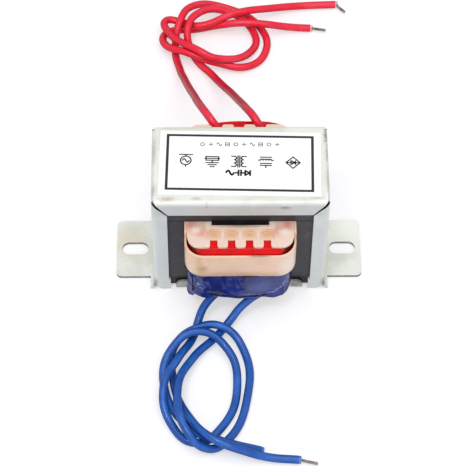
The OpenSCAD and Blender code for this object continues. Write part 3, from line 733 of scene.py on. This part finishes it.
def bendBobbin(bm, s):
    low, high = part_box("bobbin")
    across, front, rear = s["slices"]
    slicePlanes(bm, 1, s["rear"][0] * mm, high[1], rear)
    slicePlanes(bm, 1, low[1], s["lobeY"] * mm, front)
    slicePlanes(bm, 0, low[0], high[0], across)
    for v in bm.verts:
        x, y, z = v.co / mm
        if z > s["top"]:
            z += s["rearRise"] * smooth(*s["rear"], y)
        if z > s["top"] and abs(x) > s["lobeX"] and y < s["lobeY"]:
            x += math.copysign(s["lobeReach"], x) * smooth(*s["lobe"], y)
        if z < s["low"] and y < s["lowPull"][0]:
            y += s["frontPull"] * (1 - smooth(*s["frontRest"], abs(x))) * smooth(*s["lowPull"], y)
        v.co = Vector((x, y, z)) * mm


def markShadedFaces(bm, s):
    start, end = Vector(s["inner"]), Vector(s["corner"])
    run = (end - start).normalized()
    for face in bm.faces:
        x, y, z = face.calc_center_median() / mm
        side = math.copysign(1, face.normal.x * x)
        across = face.normal.z * run.x - abs(face.normal.x) * run.y * side
        off = Vector((abs(x), z)) - start
        away = abs(off.x * run.y - off.y * run.x)
        inRun = s["overrun"][0] < off.dot(run) < s["overrun"][1]
        if abs(y) > s["from"] and abs(across) > s["square"] and away < s["reach"] and inRun:
            face.material_index = 1
        if abs(x) > s["earX"] and z < s["earZ"] and abs(face.normal.z) < s["upright"]:
            face.material_index = 2


for node, s in edgeSettings.items():
    bm = nodeCopy(node)
    if node == "bobbin":
        bendBobbin(bm, bendSettings)
    if node == "channel_frame":
        markShadedFaces(bm, shadedFaceSettings)
    softenEdges(bm, s["width"], s["angle"])
    shape = meshObject(node + "_shape", bm, s["material"], [node])
    if node == "channel_frame":
        shape.data.materials.append(plain["mitre shade"])
        shape.data.materials.append(plain["sheared edge and shade"])
    weighNormals(shape)
print("frame, clip, bobbin, shroud and label finished")

# coil tape: the CAD band cut into small faces and pressed into folds
# a fold is a line in X and Z on the front of the coil, with its height and width
filmSettings = {
    "flat": 0.5,    # degrees, faces that meet at less are merged first
    "level": 0.3,   # faces more level than this stay where they are
    "ridges": (1.4, 0.7), "creases": (1.0, 0.6),    # noise scales across and up
    "ridgeTop": 0.5,    # and the height of a ridge
}
tapeSettings = {
    "primary_tape": {
        **filmSettings, "material": redTape, "slot": "red_tape", "along": 0.7, "up": 0.4,
        "wrinkle": 0.1, "wave": 300.0, "edgeZ": 31.9,
        "frontY": -12.0, "slope": 0.75, "slopeDepth": 1.0, "slopeEnds": (11.0, 13.0),
        "backY": 15.0, "backPush": 1.0, "backCorner": (2.0, 11.0),
    },
    "secondary_tape": {
        **filmSettings, "material": blueTape, "slot": "blue_tape", "along": 0.45, "up": 0.35,
        "wrinkle": 0.16, "wave": 260.0, "edgeZ": 10.5, "frontY": -15.0,
        "rollHeight": 0.9, "rollOut": 0.42, "rollDown": 1.15, "rollWave": (0.35, 0.25),
        "corners": (6.0, 10.5), "ends": (12.6, 14.6), "middlePull": 0.95, "middleDown": 0.85,
        "cornerPush": (0.35, 0.0), "cornerDown": (0.75, 1.25), "endDown": (1.0, 0.2),
        "endPush": (-0.2, -0.35), "endFrom": (-15.0, -18.0), "lowFrom": (17.0, 11.5),
        "lap": ((-1.5, 21.7), (-0.6, 16.9), (2.5, 12.4), (7.0, 12.9), (10.3, 13.1), (12.6, 16.0)),
        "lapHeight": 0.3, "lapWidth": 0.25,
        "folds": (
            ((-13.0, 13.4), (-10.4, 16.0), 0.3, 0.45), ((-10.9, 17.8), (-8.2, 12.3), 0.24, 0.6),
            ((-12.8, 12.0), (-9.4, 12.9), 0.24, 0.4), ((-13.4, 17.8), (-11.8, 15.0), -0.35, 0.6),
            ((-6.2, 20.0), (-4.9, 12.2), 0.1, 0.9), ((-0.9, 20.5), (0.2, 15.2), -0.22, 1.0),
            ((12.6, 15.8), (10.4, 12.6), 0.32, 0.4), ((13.1, 12.6), (12.2, 10.5), 0.3, 0.35),
            ((13.4, 15.0), (11.7, 12.0), -0.25, 0.45), ((4.2, 11.6), (9.8, 11.9), 0.14, 0.35),
        ),
    },
}


def noiseAt(p, across, up):
    return noise.noise(Vector((p.x * across, p.y * across, p.z * up)))


def foldHeight(s, x, z):
    height = 0
    for start, end, rise, width in s["folds"]:
        height += rise * math.exp(-(nearSegment(x, z, start, end)[0] / width) ** 2)
    away, side = min((nearSegment(x, z, a, b) for a, b in zip(s["lap"], s["lap"][1:])),
                     key=lambda found: found[0])
    return height + s["lapHeight"] * smooth(-s["lapWidth"], s["lapWidth"], away * side)


def shapeBlueFilm(s, p, outer):
    # outward push and drop of a point, in millimetres
    x, y, z = p
    front = y < s["frontY"]
    push = foldHeight(s, x, z) if front else 0
    drop = 0
    if outer:
        roll = smooth(s["edgeZ"] + s["rollHeight"], s["edgeZ"], z)
        scale, share = s["rollWave"]
        down = s["rollDown"]
        if front:
            side = 0 if x < 0 else 1
            corner, end = smooth(*s["corners"], abs(x)), smooth(*s["ends"], abs(x))
            low = smooth(*s["lowFrom"], z)
            push += low * s["cornerPush"][side] * corner * (1 - end) - s["middlePull"] * (1 - corner)
            down = s["middleDown"] + (s["cornerDown"][side] - s["middleDown"]) * corner
            down += (s["endDown"][side] - down) * end
            push += low * s["endPush"][side] * end * smooth(*s["endFrom"], y)
        push += roll * s["rollOut"]
        drop = roll * (down + share * noiseAt(p, scale, 0))
    return push, drop


def shapeRedFilm(s, p, outer):
    x, y, z = p
    push = 0
    if outer and y < s["frontY"]:
        push = s["slope"] * smooth(s["edgeZ"], s["edgeZ"] - s["slopeDepth"], z)
        push *= 1 - smooth(*s["slopeEnds"], abs(x))
    if outer and y > s["backY"]:
        push = s["backPush"] * smooth(*s["backCorner"], x)
    return push, 0


def makeTape(node, s, shape):
    low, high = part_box(node)
    bm = nodeCopy(node, flat=s["flat"])
    for axis, step in ((0, s["along"]), (1, s["along"]), (2, s["up"])):
        slicePlanes(bm, axis, low[axis], high[axis], step)
    bm.normal_update()
    moves = []
    for v in bm.verts:
        flat = Vector((v.normal.x, v.normal.y, 0))
        if flat.length < s["level"]:
            continue
        outer = flat.dot(Vector((v.co.x, v.co.y, 0))) > 0
        out = flat.normalized() if outer else -flat.normalized()
        p = v.co * s["wave"]
        wrinkle = noiseAt(p, *s["creases"]) + s["ridgeTop"] - abs(noiseAt(p, *s["ridges"]))
        push, drop = shape(s, v.co / mm, outer)
        moves.append((v, out * (push + s["wrinkle"] * wrinkle) * mm - Vector((0, 0, drop * mm))))
    for v, move in moves:
        v.co += move
    return meshObject(node + "_film", bm, s["material"], [node], sharp=60)


# torn end of the blue tape, hanging at the left: pairs of edge points from the top down
tabSettings = {
    "rows": (
        ((-14.9, -18.2, 16.4), (-14.0, -20.4, 16.4)), ((-15.2, -18.7, 12.6), (-13.9, -21.1, 12.6)),
        ((-15.4, -19.0, 9.9), (-13.7, -21.4, 9.9)), ((-15.3, -19.5, 7.7), (-13.2, -21.1, 8.3)),
        ((-15.0, -19.9, 6.5), (-13.9, -20.8, 7.0)),
    ),
    "thick": 0.1, "cuts": 3, "rounding": 0.3, "crumple": 0.25, "wave": 380.0,
    "seed": 12,    # the crumple is the same in each run
}


def makeTab(s):
    bm = bmesh.new()
    bmesh.ops.create_grid(bm, x_segments=1, y_segments=len(s["rows"]) - 1, size=1)
    bm.verts.ensure_lookup_table()
    for v, place in zip(bm.verts, [p for row in s["rows"] for p in row]):
        v.co = Vector(place) * mm
    bmesh.ops.subdivide_edges(bm, edges=bm.edges[:], cuts=s["cuts"], use_grid_fill=True,
                              smooth=s["rounding"])
    noise.seed_set(s["seed"])
    for v in bm.verts:
        v.co += noise.noise_vector(v.co * s["wave"]) * s["crumple"] * mm
    bmesh.ops.recalc_face_normals(bm, faces=bm.faces)
    bmesh.ops.solidify(bm, geom=bm.faces[:], thickness=s["thick"] * mm)
    return meshObject("secondary_tape_tab", bm, blueTape)


makeTape("primary_tape", tapeSettings["primary_tape"], shapeRedFilm)
makeTape("secondary_tape", tapeSettings["secondary_tape"], shapeBlueFilm)
makeTab(tabSettings)
print("coils taped")

# the rest are the CAD solids with a finish
finishes = {
    "e_laminations": (lamination, "lamination_steel"),
    "i_laminations": (lamination, "lamination_steel"),
    "primary_winding": (plain["copper wire"], "copper_wire"),
    "secondary_winding": (plain["copper wire"], "copper_wire"),
    "primary_joints": (plain["tinned wire"], "tinned_wire"),
    "secondary_joints": (plain["tinned wire"], "tinned_wire"),
}
for node, (material, slotName) in finishes.items():
    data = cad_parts[node].data
    data.materials.clear()
    data.materials.append(material)
print("inner pieces finished")

# printed frame line on the label
printSettings = {
    "size": (42.0, 19.7),
    "line": 0.78,
    "turn": -1.42,
    "centre": (-0.08, 0.34),
    "lift": 0.015,
}


def makeBorder(s):
    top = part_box("rating_label")[1][2]
    bm = bmesh.new()
    bmesh.ops.create_grid(bm, x_segments=1, y_segments=1, size=0.5 * mm)
    bmesh.ops.scale(bm, verts=bm.verts, vec=(s["size"][0], s["size"][1], 1))
    made = bmesh.ops.inset_region(bm, faces=bm.faces[:], thickness=s["line"] * mm, use_even_offset=True,
                                  use_boundary=True)
    ringFaces = set(made["faces"])
    bmesh.ops.delete(bm, geom=[f for f in bm.faces if f not in ringFaces], context="FACES")
    raised = bmesh.ops.extrude_face_region(bm, geom=bm.faces[:])
    bmesh.ops.translate(bm, verts=[v for v in raised["geom"] if isinstance(v, bmesh.types.BMVert)],
                        vec=(0, 0, s["lift"] * mm))
    bmesh.ops.rotate(bm, verts=bm.verts, cent=(0, 0, 0),
                     matrix=Euler((0, 0, math.radians(s["turn"]))).to_matrix())
    bmesh.ops.translate(bm, verts=bm.verts, vec=(s["centre"][0] * mm, s["centre"][1] * mm, top))
    bmesh.ops.recalc_face_normals(bm, faces=bm.faces)
    return meshObject("label_border", bm, plain["label ink"], sharp=30)


# plain wiring symbols inside the line, in millimetres from the middle of the label
symbolSettings = {
    "turn": -1.8,
    "lift": 0.015,
    "overlap": 0.6,    # share of its width that a stroke adds to its length
    "rowTurn": 0.3,    # share of the turn that the small row follows
    "strokes": {"symbols": 0.38, "small": 0.22, "heavy": 0.56},
    "rows": {"symbols": ((-15.4, 1.25), (-7.9, 1.0), (-0.35, 0.8), (7.3, 0.55), (15.0, 0.3)),
             "small": (-10.6, 6.95, 2.36, 10), "heavy": (-0.5, -3.2)},
}


def arc(x, y, radius, start, end, steps=10):
    turns = [math.radians(start + (end - start) * k / steps) for k in range(steps + 1)]
    return [(x + radius * math.cos(turn), y + radius * math.sin(turn)) for turn in turns]


def sine(x, y, width, height, steps=14):
    return [(x - width / 2 + width * k / steps, y + height / 2 * math.sin(math.tau * k / steps))
            for k in range(steps + 1)]


def box(x, y, width, height):
    w, h = width / 2, height / 2
    return [(x - w, y - h), (x + w, y - h), (x + w, y + h), (x - w, y + h), (x - w, y - h)]


def wiringSymbols():
    source = [arc(0, 0, 1.5, 0, 360, 24), sine(0, 0, 1.9, 1.2), [(0, 1.5), (0, 2.1)],
              [(0, -1.5), (0, -2.1)], [(-1.9, 2.1), (1.9, 2.1)]]
    fuse = [box(0, 0.9, 3.6, 1.3), [(-2.1, 0.9), (2.1, 0.9)], [(-1.8, -0.6), (1.8, -0.6)],
            [(-1.2, -1.3), (1.2, -1.3)], [(-0.6, -2.0), (0.6, -2.0)], [(0, 0.2), (0, -0.6)]]
    core = [[(-0.25, -2), (-0.25, 2)], [(0.25, -2), (0.25, 2)]]
    for k in range(3):
        y = 1.2 - 1.2 * k
        core += [arc(-1.3, y, 0.6, -90, 90), arc(1.3, y, 0.6, 90, 270)]
    core += [[(side * 2.1, y), (side * 1.3, y)] for side in (-1, 1) for y in (1.8, -1.8)]
    coil = [arc(-1.2 + 0.8 * k, 0.6, 0.4, 180, 0) for k in range(4)]
    coil += [[(-2.1, 0.6), (-1.6, 0.6)], [(2.1, 0.6), (1.6, 0.6)], [(-1.6, 1.7), (1.6, 1.7)],
             [(-1.6, -0.5), (1.6, -0.5)], [(-1.6, -1.2), (1.6, -1.2)], [(0, -1.2), (0, -2)]]
    bridge = [[(0, 2), (2, 0), (0, -2), (-2, 0), (0, 2)],
              [(-0.6, -0.7), (0.7, 0), (-0.6, 0.7), (-0.6, -0.7)],
              [(0.7, -0.7), (0.7, 0.7)], [(-2, 0), (2, 0)]]
    return source, fuse, core, coil, bridge


def inkLines(bm, lines, x, y, width, s):
    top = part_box("rating_label")[1][2]
    turn = Matrix.Rotation(math.radians(s["turn"]), 4, "Z")
    for line in lines:
        for a, b in zip(line, line[1:]):
            a, b = Vector((*a, 0)), Vector((*b, 0))
            run = b - a
            length = run.length + width * s["overlap"]
            size = Matrix.Diagonal((length * mm, width * mm, s["lift"] * mm, 1))
            middle = Vector((x, y, 0)) + turn @ ((a + b) / 2)
            place = Matrix.Translation(Vector((middle.x * mm, middle.y * mm, top + s["lift"] * mm / 2)))
            aim = turn @ Matrix.Rotation(math.atan2(run.y, run.x), 4, "Z")
            bmesh.ops.create_cube(bm, size=1, matrix=place @ aim @ size)


def makeSymbols(s):
    rows, strokes = s["rows"], s["strokes"]
    ink, grey = bmesh.new(), bmesh.new()
    for (x, y), lines in zip(rows["symbols"], wiringSymbols()):
        inkLines(ink, lines, x, y, strokes["symbols"], s)
    x, y, step, count = rows["small"]
    signs = ([arc(0, 0, 0.55, 0, 360, 12)], [box(0, 0, 1.1, 1.1), [(-0.5, 0), (0.5, 0)]],
             [sine(0, 0, 1.4, 1.1)], [[(-0.6, 0), (0.6, 0)], [(0, -0.6), (0, 0.6)]])
    drop = math.tan(math.radians(s["turn"])) * step * s["rowTurn"]
    for k in range(count):
        inkLines(grey, signs[k * 3 % len(signs)], x + step * k, y + drop * k, strokes["small"], s)
    heavy = [sine(-2.4, 0, 2.2, 1.5), [(-0.9, 0), (0, 0)], [(0, -0.95), (0, 0.95)],
             [(0.7, -0.95), (0.7, 0.95)], [(0.7, 0), (1.9, 0)],
             [(1.9, -0.8), (3.1, 0), (1.9, 0.8), (1.9, -0.8)], [(3.3, -0.85), (3.3, 0.85)]]
    inkLines(ink, heavy, *rows["heavy"], strokes["heavy"], s)
    meshObject("label_symbols", ink, plain["label ink"], sharp=30)
    meshObject("label_small_symbols", grey, plain["label grey"], sharp=30)


makeBorder(printSettings)
makeSymbols(symbolSettings)
print("label printed")

# floor and light
studioSettings = {
    "floorSize": 6.0,
    "floorDrop": 0.06,   # millimetres, just under the feet
    "floorGlow": 0.48,   # plain white added to the floor where the camera sees it
    "floorTone": (0.575, 0.572, 0.592, 1.0),
    "bounceTone": (0.86, 0.86, 0.86, 1.0),
    "worldTone": (0.93, 0.96, 1.0, 1.0),
    "worldPower": 0.5,
    "lamps": {
        "key": {"place": (0.04, -0.15, 1.1), "size": 1.1, "power": 6.1, "tone": (1.0, 0.985, 0.96)},
        "fill": {"place": (0.1, -0.9, 0.55), "size": 0.8, "power": 1.6, "tone": (0.96, 0.98, 1.0)},
        "shine": {"place": (-0.18, -0.28, 0.75), "size": 0.14, "power": 0.8, "tone": (1.0, 1.0, 1.0)},
    },
}


def seenRays(tree):
    # 1 for what the camera sees, also in reflections and through clear pieces
    path = addNode(tree, "ShaderNodeLightPath")
    seen = path.outputs["Is Camera Ray"]
    for ray in ("Is Glossy Ray", "Is Transmission Ray"):
        either = addNode(tree, "ShaderNodeMath", operation="MAXIMUM")
        tree.links.new(seen, either.inputs[0])
        tree.links.new(path.outputs[ray], either.inputs[1])
        seen = either.outputs[0]
    return seen


def makeFloor(s):
    bm = bmesh.new()
    bmesh.ops.create_grid(bm, x_segments=1, y_segments=1, size=s["floorSize"] / 2)
    bmesh.ops.translate(bm, verts=bm.verts, vec=(0, 0, -s["floorDrop"] * mm))
    mesh = bpy.data.meshes.new("floor")
    bm.to_mesh(mesh)
    bm.free()
    floor = bpy.data.objects.new("floor", mesh)
    bpy.context.scene.collection.objects.link(floor)
    material = bpy.data.materials.new("studio floor")
    material.use_nodes = True
    tree = material.node_tree
    tree.nodes.clear()
    out = addNode(tree, "ShaderNodeOutputMaterial")
    glow = addNode(tree, "ShaderNodeEmission", {"Color": (1, 1, 1, 1), "Strength": s["floorGlow"]})
    tone = addNode(tree, "ShaderNodeBsdfDiffuse", {"Color": s["floorTone"]})
    bounce = addNode(tree, "ShaderNodeBsdfDiffuse", {"Color": s["bounceTone"]})
    both = addNode(tree, "ShaderNodeAddShader")
    pick = addNode(tree, "ShaderNodeMixShader")
    link = tree.links.new
    link(seenRays(tree), pick.inputs[0])
    link(bounce.outputs[0], pick.inputs[1])
    link(glow.outputs[0], both.inputs[0])
    link(tone.outputs[0], both.inputs[1])
    link(both.outputs[0], pick.inputs[2])
    link(pick.outputs[0], out.inputs[0])
    mesh.materials.append(material)


def makeWorld(s):
    world = bpy.data.worlds.new("studio")
    bpy.context.scene.world = world
    world.use_nodes = True
    tree = world.node_tree
    tree.nodes.clear()
    out = addNode(tree, "ShaderNodeOutputWorld")
    light = addNode(tree, "ShaderNodeBackground", {"Color": s["worldTone"], "Strength": s["worldPower"]})
    white = addNode(tree, "ShaderNodeBackground", {"Color": (1, 1, 1, 1), "Strength": 1.0})
    pick = addNode(tree, "ShaderNodeMixShader")
    link = tree.links.new
    link(seenRays(tree), pick.inputs[0])
    link(light.outputs[0], pick.inputs[1])
    link(white.outputs[0], pick.inputs[2])
    link(pick.outputs[0], out.inputs[0])


def makeLamp(name, s):
    data = bpy.data.lights.new(name, "AREA")
    data.shape = "DISK"
    data.size = s["size"]
    data.energy = s["power"]
    data.color = s["tone"]
    lamp = bpy.data.objects.new(name, data)
    lamp.location = s["place"]
    lamp.rotation_euler = (-Vector(s["place"])).to_track_quat("-Z", "Y").to_euler()
    bpy.context.scene.collection.objects.link(lamp)


makeFloor(studioSettings)
makeWorld(studioSettings)
for name, s in studioSettings["lamps"].items():
    makeLamp(name, s)
bpy.context.scene.view_settings.view_transform = "Standard"
print("studio lit")
